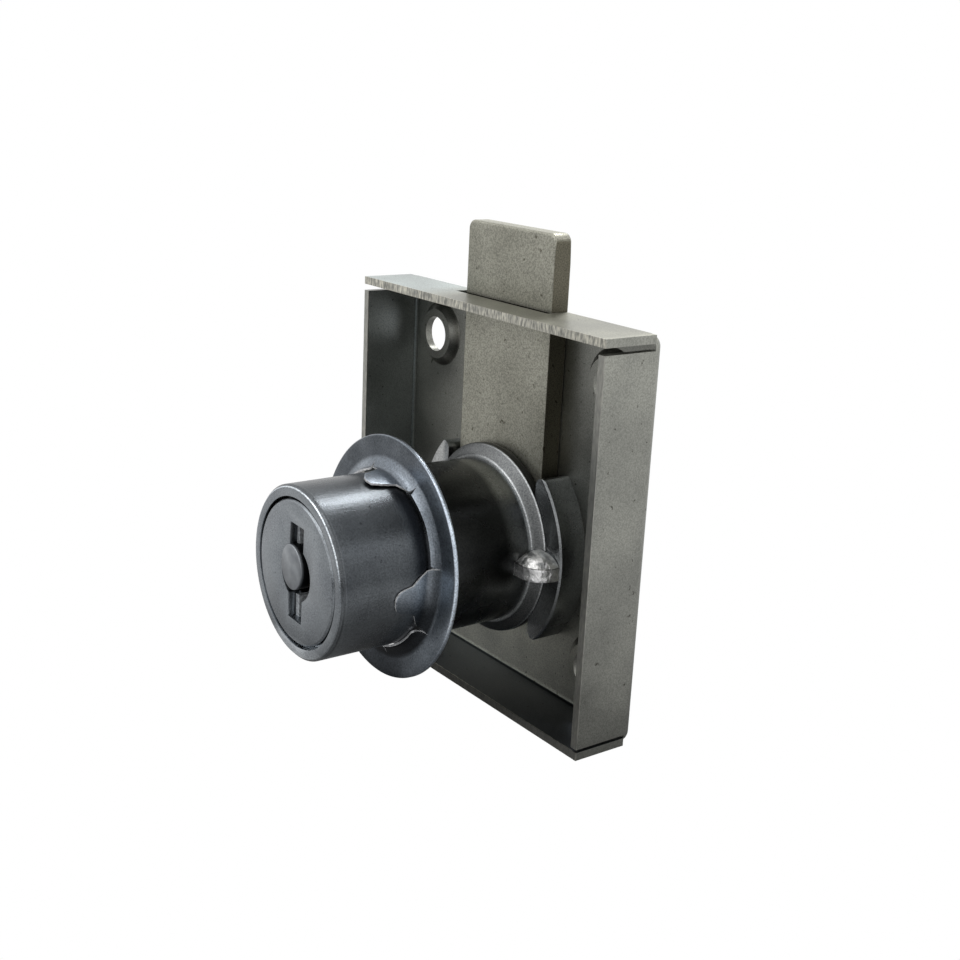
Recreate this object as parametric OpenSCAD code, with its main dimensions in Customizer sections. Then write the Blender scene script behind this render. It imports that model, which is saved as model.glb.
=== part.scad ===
// Drawer lock. A pressed case is screwed to the inside of a drawer front, a cylinder passes
// through the front, and its key turns a crank that throws a flat bolt up out of the case.
// X runs to the right as seen from the front, Y to the back and Z up. The origin is on the
// cylinder's axis, in the plane of the case's open rim, and the bolt is drawn thrown.

/* [Case] */
// Width of the case over its side flanges
case_w = 44.5; // [42:0.5:60]
// Height of the case over its top and bottom flanges
case_h = 45; // [44.6:0.1:60]
// How far the cylinder's axis lies below the middle of the case
axis_drop = 4.85; // [4:0.05:5.2]
// Depth of the case from its open rim to the back of its plate
case_d = 8.1; // [7.7:0.1:9]
// Thickness of the sheet that the case is pressed from
sheet_t = 0.9; // [0.6:0.1:1]
// Outer radius of the bends around the back plate
bend_r = 1.4; // [1.1:0.1:2]
// Gap between the side flanges and the top flange
top_gap = 0.75; // [0.3:0.05:1]
// Gap between the side flanges and the bottom flange
bottom_gap = 0.35; // [0.2:0.05:1]
// Space on each side of the bolt in the slot of the top flange
slot_gap = 0.5; // [0.4:0.05:1]
// How far the slot lies to the left of the bolt's middle
slot_shift = 0.35; // [0:0.05:0.35]

/* [Screw holes] */
// Diameter of the four screw holes
screw_d = 4.2; // [3.6:0.1:4.6]
// Diameter of the pressed countersink at the back of the plate
dish_d = 7.8; // [7:0.1:8.6]
// How far a countersink stands forward of the plate
dish_depth = 0.9; // [0.6:0.1:1.2]
// Distance from the centre of a screw hole to the nearest edges of the case
screw_inset = 6.4; // [6:0.1:7]

/* [Cylinder housing] */
// Diameter of the barrel that passes through the drawer front
barrel_d = 19; // [18.6:0.1:20]
// How far the barrel's face stands in front of the case's rim
nose_reach = 21.3; // [20.5:0.1:30]
// Bevel around the barrel's face
nose_edge = 0.3; // [0.2:0.1:0.6]
// Diameter of the conical foot of the barrel
foot_d = 22; // [21:0.1:22.6]
// Length of the conical foot
foot_l = 1; // [0.6:0.1:1.6]
// Diameter across the two ears that hold the housing to the case
ear_d = 27; // [26:0.1:28]
// How far the front of the ears lies behind the case's rim
ear_front = 3.7; // [3.4:0.1:3.9]
// Bevel around the front of the ears
ear_edge = 0.2; // [0.1:0.05:0.5]
// Radius of the ears' tips
tip_r = 0.9; // [0.6:0.1:1.2]
// Height of the lug on each side that keeps the barrel from turning in the wood
lug_h = 2.8; // [2:0.1:4]
// How far a lug stands forward of the ears
lug_l = 3.2; // [2.8:0.1:3.4]
// Radius of a lug's outer front corner
lug_r = 2.6; // [1:0.1:2.7]
// How far the middle of a lug lies above the axis
lug_rise = 0.35; // [-0.5:0.05:0.5]
// Radius of the lugs' domed tops
lug_dome_r = 3.2; // [3:0.1:8]

/* [Plug] */
// Diameter of the plug's face
plug_face_d = 16.1; // [15.8:0.1:16.3]
// Thickness of the plug's head
plug_head_l = 1.5; // [1.2:0.1:2]
// Diameter of the plug behind its head
plug_d = 14.4; // [14.2:0.1:14.6]
// Space around the plug's body in the barrel, on each side
plug_fit = 0.05; // [0.02:0.01:0.08]
// Width of the dark gap around the plug's face
face_gap = 0.2; // [0.15:0.05:0.3]
// Width of the key slot
key_w = 2.9; // [2.4:0.1:3.2]
// Height of the key slot
key_h = 10.8; // [9.6:0.1:11.2]
// Angle by which the key slot leans to the right
key_lean = 2.6; // [0:0.1:5]
// Depth of the wide mouth of the key slot
mouth_l = 1.35; // [1.1:0.05:1.45]
// Ledge on each side where the key slot narrows behind its mouth
key_ledge = 0.35; // [0.2:0.05:0.5]
// Diameter of the round part of the keyhole
key_round_d = 6.2; // [5.8:0.1:6.4]

/* [Key pin] */
// Diameter of the pin in the middle of the keyhole
pin_d = 5.2; // [4.6:0.1:5.3]
// How far the pin stands out of the plug's face
pin_proud = 0.3; // [0.1:0.1:0.6]
// How far the pin lies to the left of the plug's axis
pin_off = 0.4; // [0:0.05:0.4]
// Diameter of the pin's rear spigot
spigot_d = 3; // [2.6:0.1:3.4]
// Length of the pin's rear spigot
spigot_l = 3; // [2:0.5:4]

/* [Tumblers] */
// Thickness of a tumbler
tumbler_t = 1; // [0.8:0.05:1.1]
// Distance from one tumbler to the next
tumbler_pitch = 2.2; // [2.1:0.05:2.3]
// Distance from the plug's face to the middle of the first tumbler
tumbler_first = 3.6; // [3.2:0.1:4]
// Width of a tumbler
tumbler_w = 9.2; // [8.8:0.1:9.4]
// Width of the window in a tumbler
window_w = 6.8; // [6.5:0.1:7]
// Height from the axis to the top of the lowest window
window_h = 3.7; // [3.6:0.1:3.9]
// How much higher the next key step is
key_step = 0.3; // [0.1:0.05:0.4]
// How far its spring pushes a tumbler out of the plug when the key is drawn
tumbler_out = 0.6; // [0.4:0.05:0.7]
// Space between a tumbler and its slot
tumbler_gap = 0.05; // [0.03:0.01:0.1]
// Diameter of a tumbler spring
spring_d = 1.3; // [1:0.1:1.4]
// Length of a tumbler spring while the key holds its tumbler in
spring_l = 3; // [2.6:0.1:3.2]

/* [Drive] */
// Distance that the bolt travels
bolt_throw = 8.3; // [7.6:0.1:8.4]
// Diameter of the crank pin
crank_d = 3; // [2.4:0.1:3.2]
// Diameter of the drive cam
cam_d = 16; // [15.4:0.1:16.2]
// Thickness of the drive cam
cam_t = 1.3; // [1:0.1:1.5]
// Side of the square tail that turns the cam
tail_w = 2.8; // [2.4:0.1:3.2]
// Thread diameter of the screw that holds the cam
cam_screw_d = 1.8; // [1.4:0.1:2]
// Length of that screw below its head
cam_screw_l = 5; // [3:0.5:8]
// Thickness of that screw's head
cam_head_h = 0.5; // [0.4:0.05:0.7]

/* [Bolt] */
// Width of the bolt
bolt_w = 15.7; // [15.4:0.1:16]
// Thickness of the bolt
bolt_t = 2.3; // [2:0.1:2.4]
// How far the bolt reaches below the cylinder's axis when thrown
bolt_tail = 7.5; // [6:0.1:7.6]
// Radius of the bolt's corners
bolt_corner = 1; // [0.5:0.1:2]
// Space between the bolt and each ear
channel_gap = 0.55; // [0.4:0.05:0.7]
// Thickness of the leaf spring beside the bolt
leaf_t = 0.2; // [0.15:0.05:0.25]
// Length of the leaf spring beside the bolt
leaf_l = 12; // [9:0.5:14]

/* [Trim ring] */
// How far the trim ring's edge reaches past the ears' edge, seen from the front
trim_margin = 0.05; // [-0.4:0.05:2.5]
// Thickness of the trim ring's sheet
trim_t = 0.4; // [0.3:0.05:0.6]
// Depth of the trim ring's turned-back lip
trim_lip = 0.9; // [0.6:0.1:1.5]
// Distance from the case's rim forward to the front of the trim ring
trim_place = 10.3; // [7:0.1:13]
// Angle by which the trim ring sits cocked on the barrel
trim_lean = 2.5; // [0:0.1:2.5]
// Diameter of the circle where the collar rises from the flange
collar_d = 22.4; // [21.6:0.1:23]
// How far the collar stands forward of the flange
collar_l = 1; // [0.8:0.1:1.4]
// How far the tongues stand forward of the flange
tongue_l = 4.2; // [3:0.1:4.6]
// Width of a tongue at its root
tongue_root_w = 6.8; // [5:0.1:7.6]
// Width of a tongue where its round tip begins
tongue_w = 3; // [2.4:0.1:3.6]
// Thickness of the collar and the tongues
collar_t = 0.3; // [0.2:0.05:0.4]
// Space between the tongues and the barrel
trim_gap = 0.25; // [0.22:0.01:0.3]

/* [Rivets] */
// Diameter of the four rivets that hold the housing to the case
rivet_d = 2.4; // [2:0.1:2.6]
// Diameter of a rivet's head
rivet_head_d = 4.4; // [3.8:0.1:4.6]
// Height of a rivet's head
rivet_head_h = 0.8; // [0.5:0.1:1]
// How far a rivet reaches into the ear
rivet_depth = 2.4; // [1.5:0.1:2.6]

/* [Hidden] */
$fn = 96;
// A cut runs past the surface it opens by this much
over = 1;
// Faces that slide on each other are drawn this far apart
slide_gap = 0.05;
// Moving parts that pass each other keep this much room
free_gap = 0.25;

case_top = case_h / 2 + axis_drop;
case_bottom = case_top - case_h;
plate_front = case_d - sheet_t;

bolt_back = plate_front - slide_gap;
bolt_front = bolt_back - bolt_t;
bolt_top = case_top + bolt_throw;
web_back = bolt_front - free_gap;
channel_half = bolt_w / 2 + channel_gap;

nose_face = -nose_reach;
head_back = nose_face + plug_head_l;
ear_r = ear_d / 2;
ear_tip_x = channel_half + tip_r;
ear_tip_z = sqrt(pow(ear_r - tip_r, 2) - pow(ear_tip_x, 2));
foot_front = ear_front - foot_l;

cam_back = web_back - slide_gap;
cam_front = cam_back - cam_t;
cam_pocket_d = cam_d + 2 * free_gap;
crank_r = bolt_throw / 2;
crank_end = bolt_back - free_gap;
cam_head_d = 2 * crank_r - crank_d - 2 * free_gap;
cam_head_front = cam_back - cam_head_h;

// While the crank turns evenly, its pin runs ahead of the bolt and behind it by this share
// of its radius, which the window takes up.
lost_motion = 0.2106;
bolt_window_w = 2 * crank_r + crank_d + 2 * free_gap;
bolt_window_h = crank_d + 2 * lost_motion * crank_r + 2 * free_gap;

tumbler_n = 6;
tumbler_r = plug_d / 2 - 2 * tumbler_gap;
groove_front = head_back + 1;
groove_r = tumbler_r + tumbler_out + free_gap;
groove_w = tumbler_w + 4 * free_gap;
slot_w = tumbler_w + 4 * tumbler_gap;
slot_t = tumbler_t + 2 * tumbler_gap;
key_end = nose_face + tumbler_first + (tumbler_n - 1) * tumbler_pitch + slot_t;
spring_gap = 0.1;
pocket_w = spring_d + 2 * spring_gap;
spring_x = slot_w / 2 + spring_gap + spring_d / 2;
spring_tip = 0.4;
spring_base = spring_tip - spring_l;
arm_h = 0.8;

leaf_bow = 0.55;
leaf_clear = 0.08;
leaf_x = bolt_w / 2 + leaf_clear;
leaf_r = (pow(leaf_l / 2, 2) + pow(leaf_bow, 2)) / (2 * leaf_bow);
leaf_pocket_x = leaf_x + leaf_bow + leaf_t + slide_gap;
leaf_margin = 0.4;
leaf_front = web_back + leaf_margin;
leaf_back = plate_front - leaf_margin;

trim_y = -trim_place;
trim_d = ear_d + 2 * trim_margin;
trim_bore_d = barrel_d + 2 * trim_gap;
tongue_count = 4;
tongue_step = 360 / tongue_count;
tongue_first = -11;
// A slit in the collar on each side of a tongue, at this angle from the tongue's middle
slit_turn = 23.5;
slit_w = 0.3;

screw_x = case_w / 2 - screw_inset;
screw_zs = [case_bottom + screw_inset, case_top - screw_inset];
// The rivets stand at this angle from the width, this far inside the ears' edge
rivet_turn = 22;
rivet_r = ear_r - 1.85;

steel = "#8a8b85";
cast_metal = "#62656a";
dark_steel = "#55585c";
zinc = "#7f8486";
brass = "#b89a55";

// Extrudes an outline drawn in X and Z from one depth to another
module along_y(from, to) {
    translate([0, to, 0]) rotate([90, 0, 0]) linear_extrude(to - from) children();
}

// Extrudes an outline drawn in Z and Y across the width
module along_x(from, to) {
    translate([to, 0, 0]) rotate([0, -90, 0]) linear_extrude(to - from) children();
}

module rod(d, from, to) {
    along_y(from, to) circle(d = d);
}

module taper(d_from, d_to, from, to) {
    translate([0, from, 0]) rotate([-90, 0, 0])
        cylinder(d1 = d_from, d2 = d_to, h = to - from);
}

module block(x, y, z) {
    translate([x[0], y[0], z[0]]) cube([x[1] - x[0], y[1] - y[0], z[1] - z[0]]);
}

// Section of a tray: square corners at its open front and round ones at its back
module tray_section(low, high, front, back, r) {
    translate([low, front]) square([high - low, back - front - r]);
    translate([low + r, front]) square([high - low - 2 * r, back - front]);
    for (a = [low + r, high - r]) translate([a, back - r]) circle(r);
}

module tray_block(inset, front) {
    half = case_w / 2 - inset;
    r = bend_r - inset;
    intersection() {
        translate([0, 0, case_bottom + inset]) linear_extrude(case_h - 2 * inset)
            tray_section(-half, half, front, case_d - inset, r);
        along_x(-half, half)
            tray_section(case_bottom + inset, case_top - inset, front, case_d - inset, r);
    }
}

// What pressing takes off each back corner to leave it round between its two bends
module corner_waste() {
    cut = [0, bend_r + over];
    for (side = [0, 1], end = [0, 1])
        translate([0, 0, (case_top + case_bottom) / 2]) mirror([side, 0, 0]) mirror([0, 0, end])
            translate([case_w / 2 - bend_r, case_d - bend_r, case_h / 2 - bend_r]) difference() {
                block(cut, cut, cut);
                sphere(bend_r);
            }
}

module at_screws() {
    for (x = [-screw_x, screw_x], z = screw_zs) translate([x, 0, z]) children();
}

module at_rivets() {
    for (side = [0, 180], turn = [-rivet_turn, rivet_turn])
        rotate([0, side + turn, 0]) translate([rivet_r, 0, 0]) children();
}

// A pressed tray with four flanges bent forward from its back plate
module case() color(steel) difference() {
    union() {
        difference() {
            tray_block(0, 0);
            tray_block(sheet_t, -over);
        }
        at_screws() taper(screw_d + 2 * sheet_t, dish_d, plate_front - dish_depth, plate_front);
    }
    at_screws() {
        rod(screw_d, 0, case_d + over);
        taper(screw_d, dish_d, case_d - dish_depth, case_d);
    }
    for (side = [-1, 1]) translate([side * case_w / 2, 0, 0]) {
        block([-2 * sheet_t, 2 * sheet_t], [-over, case_d - bend_r],
            [case_top - sheet_t - top_gap, case_top - sheet_t]);
        block([-2 * sheet_t, 2 * sheet_t], [-over, case_d - bend_r],
            [case_bottom + sheet_t, case_bottom + sheet_t + bottom_gap]);
    }
    translate([-slot_shift, 0, case_top])
        block([-bolt_w / 2 - slot_gap, bolt_w / 2 + slot_gap],
            [bolt_front - free_gap, plate_front], [-bend_r - sheet_t, over]);
    at_rivets() rod(rivet_d, 0, case_d + over);
    corner_waste();
}

module ear_outline() {
    reach = 2;
    intersection() {
        circle(ear_r);
        polygon([
            [channel_half, -ear_tip_z], [ear_tip_x, -ear_tip_z],
            reach * [ear_tip_x, -ear_tip_z], reach * [ear_tip_x, ear_tip_z],
            [ear_tip_x, ear_tip_z], [channel_half, ear_tip_z]
        ]);
    }
    for (z = [-ear_tip_z, ear_tip_z]) translate([ear_tip_x, z]) circle(tip_r);
}

module ears() {
    intersection() {
        for (turn = [0, 180]) rotate([0, turn, 0]) along_y(ear_front, plate_front) ear_outline();
        union() {
            taper(ear_d - 2 * ear_edge, ear_d, ear_front, ear_front + ear_edge);
            rod(ear_d, ear_front + ear_edge, plate_front);
        }
    }
}

// A domed tooth with a round outer corner, from the barrel out to the edge of each ear
module turn_lugs() {
    reach = ear_r - ear_edge - barrel_d / 2;
    for (side = [0, 1]) mirror([side, 0, 0])
        translate([barrel_d / 2, ear_front - lug_l, lug_rise - lug_h / 2]) intersection() {
            linear_extrude(lug_h) {
                translate([-over, 0]) square([reach + over - lug_r, lug_l]);
                translate([-over, lug_r]) square([reach + over, lug_l - lug_r]);
                translate([reach - lug_r, lug_r]) circle(lug_r);
            }
            translate([reach - lug_r, lug_r, lug_h - lug_dome_r]) sphere(lug_dome_r);
        }
}

// The cylinder's die-cast housing: barrel, conical foot and the two ears beside the bolt
module cylinder_housing() color(cast_metal) difference() {
    union() {
        taper(barrel_d - 2 * nose_edge, barrel_d, nose_face, nose_face + nose_edge);
        rod(barrel_d, nose_face + nose_edge, ear_front);
        taper(barrel_d, foot_d, foot_front, ear_front);
        rod(foot_d, ear_front, web_back);
        ears();
        turn_lugs();
    }
    rod(plug_face_d + 2 * face_gap, nose_face - over, head_back + slide_gap);
    rod(plug_d + 2 * plug_fit, nose_face, web_back + over);
    rod(cam_pocket_d, cam_front - slide_gap, web_back + over);
    intersection() {
        rod(2 * groove_r, groove_front, web_back + over);
        block([-groove_w / 2, groove_w / 2], [nose_face, web_back + over], [-barrel_d, barrel_d]);
    }
    at_rivets() rod(rivet_d, plate_front - rivet_depth - slide_gap, plate_front + over);
    block([0, leaf_pocket_x], [leaf_front - slide_gap, leaf_back + slide_gap],
        [-leaf_l / 2 - slide_gap, leaf_l / 2 + slide_gap]);
}

// Four rivets driven into the ears from behind the plate
module housing_rivets() color(dark_steel) at_rivets() {
    rod(rivet_d, plate_front - rivet_depth, case_d);
    taper(rivet_head_d, rivet_head_d - rivet_head_h, case_d, case_d + rivet_head_h);
}

// A bowed leaf in the right ear that keeps the bolt from rattling
module bolt_spring() color(zinc) along_y(leaf_front, leaf_back) intersection() {
    translate([leaf_x + leaf_r, 0]) difference() {
        circle(leaf_r);
        circle(leaf_r - leaf_t);
    }
    translate([0, -leaf_l / 2]) square([leaf_r, leaf_l]);
}

// Extrudes an outline drawn along the barrel's tangent and length outwards at each tongue
module at_tongues(turn) {
    for (i = [0:tongue_count - 1]) rotate([0, -(tongue_first + tongue_step * i + turn), 0])
        rotate([0, 90, 0]) linear_extrude(trim_d) children();
}

module tongue_outline() {
    tip = tongue_w / 2;
    root = tongue_root_w / 2;
    translate([0, tip - tongue_l]) circle(tip);
    polygon([
        [-tip, tip - tongue_l], [tip, tip - tongue_l],
        [root, -collar_l], [root, 0], [-root, 0], [-root, -collar_l]
    ]);
}

// A pressed ring pushed over the barrel, whose four tongues are bent forward along it
module trim_ring() color(cast_metal) translate([0, trim_y, 0]) rotate([-trim_lean, 0, 0]) {
    inner = trim_bore_d / 2;
    outer = inner + collar_t;
    rim = trim_d / 2;
    difference() {
        rotate([-90, 0, 0]) rotate_extrude() polygon([
            [inner, -tongue_l - over], [outer, -tongue_l - over], [outer, -collar_l],
            [(outer + collar_d / 2) / 2, -collar_l / 3], [collar_d / 2, 0], [rim, 0],
            [rim, trim_lip], [rim - trim_t, trim_lip], [rim - trim_t, trim_t],
            [collar_d / 2 - trim_t, trim_t], [inner, -collar_l / 2]
        ]);
        difference() {
            rod(trim_d, -tongue_l - 2 * over, -collar_l);
            at_tongues(0) tongue_outline();
        }
        for (edge = [-slit_turn, slit_turn]) at_tongues(edge) polygon([
            [-slit_w, -collar_l - over], [slit_w, -collar_l - over], [0, -collar_l / 3]
        ]);
    }
}

function tumbler_y(i) = nose_face + tumbler_first + i * tumbler_pitch;

// Tumblers work by turns upwards and downwards
function tumbler_turn(i) = i % 2 == 0 ? 0 : 180;

module key_slot(w, h, from, to) {
    rotate([0, key_lean, 0]) block([-w / 2, w / 2], [from, to], [-h / 2, h / 2]);
}

// The part that the key turns, with a slot for each tumbler and a pocket for its spring
module plug() color(zinc) difference() {
    union() {
        taper(plug_face_d - 2 * face_gap, plug_face_d, nose_face, nose_face + face_gap);
        rod(plug_face_d, nose_face + face_gap, head_back);
        rod(plug_d, head_back, cam_front);
        block([-tail_w / 2, tail_w / 2], [cam_front, cam_head_front], [-tail_w / 2, tail_w / 2]);
    }
    key_slot(key_w, key_h, nose_face - over, nose_face + mouth_l);
    key_slot(key_w - 2 * key_ledge, key_h - 2 * key_ledge, nose_face, key_end);
    rod(key_round_d, nose_face - over, key_end);
    translate([-pin_off, 0, 0]) rod(spigot_d, nose_face, key_end + spigot_l);
    for (i = [0:tumbler_n - 1]) translate([0, tumbler_y(i), 0]) rotate([0, tumbler_turn(i), 0]) {
        block([-slot_w / 2, slot_w / 2], [-slot_t / 2, slot_t / 2], [-plug_d, plug_d]);
        block([tumbler_w / 2, spring_x + pocket_w / 2], [-pocket_w / 2, pocket_w / 2],
            [spring_base - slide_gap, spring_tip + arm_h + tumbler_out + spring_gap]);
    }
    rod(cam_screw_d, cam_head_front - cam_screw_l, cam_back);
}

// The round pin in the keyhole, which the hollow key slides over
module key_pin() color(zinc) translate([-pin_off, 0, 0]) {
    bevel = pin_proud / 2;
    front = nose_face - pin_proud;
    taper(pin_d - 2 * bevel, pin_d, front, front + bevel);
    rod(pin_d, front + bevel, key_end);
    rod(spigot_d, key_end, key_end + spigot_l);
}

// A flat plate with a window for the key and an arm for its spring
module tumbler(i) color(brass)
    translate([0, tumbler_y(i), 0]) rotate([0, tumbler_turn(i), 0]) {
        high = window_h + key_step * (i % 3);
        difference() {
            intersection() {
                rod(2 * tumbler_r, -tumbler_t / 2, tumbler_t / 2);
                block([-tumbler_w / 2, tumbler_w / 2], [-tumbler_t, tumbler_t], [-plug_d, plug_d]);
            }
            block([-window_w / 2, window_w / 2], [-tumbler_t, tumbler_t], [-window_h - key_step, high]);
        }
        block([tumbler_w / 2 - tumbler_gap, spring_x + spring_d / 2],
            [-tumbler_t / 2, tumbler_t / 2], [spring_tip, spring_tip + arm_h]);
    }

// The spring that pushes a tumbler out of the plug
module tumbler_spring(i) color(dark_steel)
    translate([0, tumbler_y(i), 0]) rotate([0, tumbler_turn(i), 0])
        translate([spring_x, 0, spring_base]) difference() {
            cylinder(d = spring_d, h = spring_l - slide_gap);
            translate([0, 0, -over]) cylinder(d = spring_d / 2, h = spring_l + 2 * over);
        }

// The disc that holds the plug in from behind and carries the crank pin
module drive_cam() color(dark_steel) {
    difference() {
        rod(cam_d, cam_front, cam_back);
        block([-tail_w / 2, tail_w / 2], [cam_front - over, cam_head_front],
            [-tail_w / 2, tail_w / 2]);
        rod(cam_head_d, cam_head_front, cam_back + over);
    }
    translate([0, 0, crank_r]) rod(crank_d, cam_back, crank_end);
}

// The screw whose flat head, sunk in the cam, holds the cam on the plug's tail
module cam_screw() color(zinc) {
    rod(cam_screw_d, cam_head_front - cam_screw_l, cam_head_front);
    rod(cam_head_d, cam_head_front, cam_back);
}

// The flat steel bolt, with a window that the crank pin works in
module bolt() color(steel) difference() {
    half = bolt_w / 2;
    along_y(bolt_front, bolt_back) {
        translate([-half, -bolt_tail]) square([bolt_w, bolt_top + bolt_tail - bolt_corner]);
        translate([-half + bolt_corner, 0])
            square([bolt_w - 2 * bolt_corner, bolt_top]);
        for (x = [-half + bolt_corner, half - bolt_corner])
            translate([x, bolt_top - bolt_corner]) circle(bolt_corner);
    }
    block([-bolt_window_w / 2, bolt_window_w / 2], [0, case_d],
        [crank_r - bolt_window_h / 2, crank_r + bolt_window_h / 2]);
}

case();
cylinder_housing();
housing_rivets();
bolt_spring();
trim_ring();
plug();
key_pin();
drive_cam();
cam_screw();
bolt();
tumbler(0);  // tumbler_1
tumbler(1);  // tumbler_2
tumbler(2);  // tumbler_3
tumbler(3);  // tumbler_4
tumbler(4);  // tumbler_5
tumbler(5);  // tumbler_6
tumbler_spring(0);  // tumbler_spring_1
tumbler_spring(1);  // tumbler_spring_2
tumbler_spring(2);  // tumbler_spring_3
tumbler_spring(3);  // tumbler_spring_4
tumbler_spring(4);  // tumbler_spring_5
tumbler_spring(5);  // tumbler_spring_6
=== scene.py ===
import bpy, bmesh, math
import numpy as np
from mathutils import Matrix, Vector


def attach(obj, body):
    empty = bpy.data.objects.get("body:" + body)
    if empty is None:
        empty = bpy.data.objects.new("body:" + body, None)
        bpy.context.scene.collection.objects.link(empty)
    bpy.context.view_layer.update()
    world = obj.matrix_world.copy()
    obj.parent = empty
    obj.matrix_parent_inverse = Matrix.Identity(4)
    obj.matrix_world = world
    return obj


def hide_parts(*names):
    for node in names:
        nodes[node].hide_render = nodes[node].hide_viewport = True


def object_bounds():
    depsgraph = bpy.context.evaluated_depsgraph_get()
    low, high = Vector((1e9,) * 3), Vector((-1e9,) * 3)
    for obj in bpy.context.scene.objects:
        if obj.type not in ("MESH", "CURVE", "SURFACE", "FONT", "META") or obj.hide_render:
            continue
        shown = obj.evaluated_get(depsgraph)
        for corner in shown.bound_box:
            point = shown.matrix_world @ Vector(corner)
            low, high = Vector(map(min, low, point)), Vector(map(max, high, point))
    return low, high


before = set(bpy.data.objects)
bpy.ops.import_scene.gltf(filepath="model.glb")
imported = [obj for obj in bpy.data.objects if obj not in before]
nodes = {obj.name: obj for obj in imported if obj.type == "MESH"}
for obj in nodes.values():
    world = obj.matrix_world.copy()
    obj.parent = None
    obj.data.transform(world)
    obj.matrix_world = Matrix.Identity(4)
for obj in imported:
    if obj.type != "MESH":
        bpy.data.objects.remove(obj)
cad_box = [list(corner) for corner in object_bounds()]
collection = bpy.context.scene.collection

# Camera: the photograph's view, a little above and to the right of the lock's front. Its angles,
# distance and focal length were found by fitting the case, the barrel and the bolt to the picture.
photo_size, focal_px, center_px, center_py = 960, 1337.751, 479.794, 474.753
azimuth, elevation, roll = (math.radians(angle) for angle in (53.301, 16.131, 2.74))
aim, distance = Vector((0.000035, 0.002226, 0.007704)), 0.152349


def show(name, data):
    """Put a mesh, lamp or lens into the scene as an object at the origin."""
    made = bpy.data.objects.new(name, data)
    collection.objects.link(made)
    return made


back = Vector((math.sin(azimuth) * math.cos(elevation), -math.cos(azimuth) * math.cos(elevation),
               math.sin(elevation)))
side = (-back).cross(Vector((0, 0, 1))).normalized()
up = side.cross(-back)
cam_x = math.cos(roll) * side + math.sin(roll) * up
cam_y = -math.sin(roll) * side + math.cos(roll) * up
lens = bpy.data.cameras.new("camera")
lens.sensor_width, lens.lens = 36, 36 * focal_px / photo_size
lens.shift_x = (photo_size / 2 - center_px) / photo_size
lens.shift_y = (center_py - photo_size / 2) / photo_size
lens.clip_start = 0.01
camera = show("camera", lens)
stand = Matrix((cam_x, cam_y, back)).transposed().to_4x4()
stand.translation = aim + back * distance
camera.matrix_world = stand
bpy.context.scene.camera = camera
bpy.context.scene.view_settings.view_transform = "Standard"

# Studio: a plain white room all round, which the metal reflects too, and four small lamps. The
# two that stand over the barrel draw the long light on its upper side.
world = bpy.data.worlds.new("studio")
bpy.context.scene.world = world
world.use_nodes = True
world.node_tree.nodes["Background"].inputs["Color"].default_value = (1, 1, 1, 1)
for name, spot, size, power in (("key", (-0.25, -0.45, 0.35), 0.25, 0.3),
                                ("fill", (0.36, 0.26, 0.25), 0.15, 0.07),
                                ("back", (-0.155, 0.25, 0.405), 0.1, 0.75),
                                ("top", (0.01, -0.305, 0.395), 0.08, 0.15)):
    lamp = bpy.data.lights.new(name, "AREA")
    lamp.size, lamp.energy = size, power
    light = show(name, lamp)
    light.location = spot
    light.rotation_euler = Vector(spot).to_track_quat("Z", "Y").to_euler()

# Floor: pale and plain, just under the case. The camera sees it white. The metal sees a painted
# shadow on it, dark close to the lock and ahead of it, and a painted pale patch of light to the right.
floor_z, floor_reach = cad_box[0][2] - 0.0002, 0.4
patch_x, patch_y = 0.084, -0.052


def feed(tree, socket, value):
    """Link a socket to another one, or set it to a plain value."""
    if isinstance(value, bpy.types.NodeSocket):
        tree.links.new(value, socket)
    else:
        socket.default_value = value


def fade(tree, source, limits):
    """Turn a value that runs between the first two limits into one between the last two."""
    node = tree.nodes.new("ShaderNodeMapRange")
    for socket, value in zip(node.inputs, (source, *limits)):
        feed(tree, socket, value)
    return node.outputs[0]


def combine(tree, kind, *values):
    """Work out a sum, a product or the like of values, each a socket or a number."""
    node = tree.nodes.new("ShaderNodeMath")
    node.operation = kind
    for socket, value in zip(node.inputs, values):
        feed(tree, socket, value)
    return node.outputs[0]


def measure(tree, kind, *vectors):
    """Work out a vector from others, or a length, a distance or a dot product."""
    node = tree.nodes.new("ShaderNodeVectorMath")
    node.operation = kind
    for socket, value in zip(node.inputs, vectors):
        feed(tree, socket, value)
    return node.outputs["Value" if kind in ("LENGTH", "DISTANCE", "DOT_PRODUCT") else "Vector"]


def coordinates(tree, kind="Object"):
    """Return the place on the piece, or with "Normal" the way its surface faces."""
    return tree.nodes.new("ShaderNodeTexCoord").outputs[kind]


mesh = bpy.data.meshes.new("floor")
corners = [(x * floor_reach, y * floor_reach, floor_z) for x, y in ((-1, -1), (1, -1), (1, 1), (-1, 1))]
mesh.from_pydata(corners, [], [(0, 1, 2, 3)])
mat = bpy.data.materials.new("floor_white")
mat.use_nodes = True
tree = mat.node_tree
tree.nodes.remove(tree.nodes["Principled BSDF"])
path, glow, shade, seen = (tree.nodes.new("ShaderNode" + kind)
                           for kind in ("LightPath", "Emission", "Emission", "MixShader"))
place = coordinates(tree)
shadow_falloff = fade(tree, measure(tree, "LENGTH", place), (0.02, 0.07, 0.06, 0.8))
shade_ahead = fade(tree, measure(tree, "DOT_PRODUCT", place, (0.5, -0.87, 0)), (0.03, 0.09, 1, 0.1))
light_patch = fade(tree, measure(tree, "DISTANCE", place, (patch_x, patch_y, floor_z)), (0.03, 0.075, 0.7, 0))
feed(tree, shade.inputs["Strength"], combine(tree, "MULTIPLY_ADD", shadow_falloff, shade_ahead, light_patch))
feed(tree, seen.inputs[0], path.outputs["Is Camera Ray"])
feed(tree, seen.inputs[1], shade.outputs[0])
feed(tree, seen.inputs[2], glow.outputs[0])
feed(tree, tree.nodes["Material Output"].inputs[0], seen.outputs[0])
mesh.materials.append(mat)
floor = show("floor", mesh)
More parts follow.
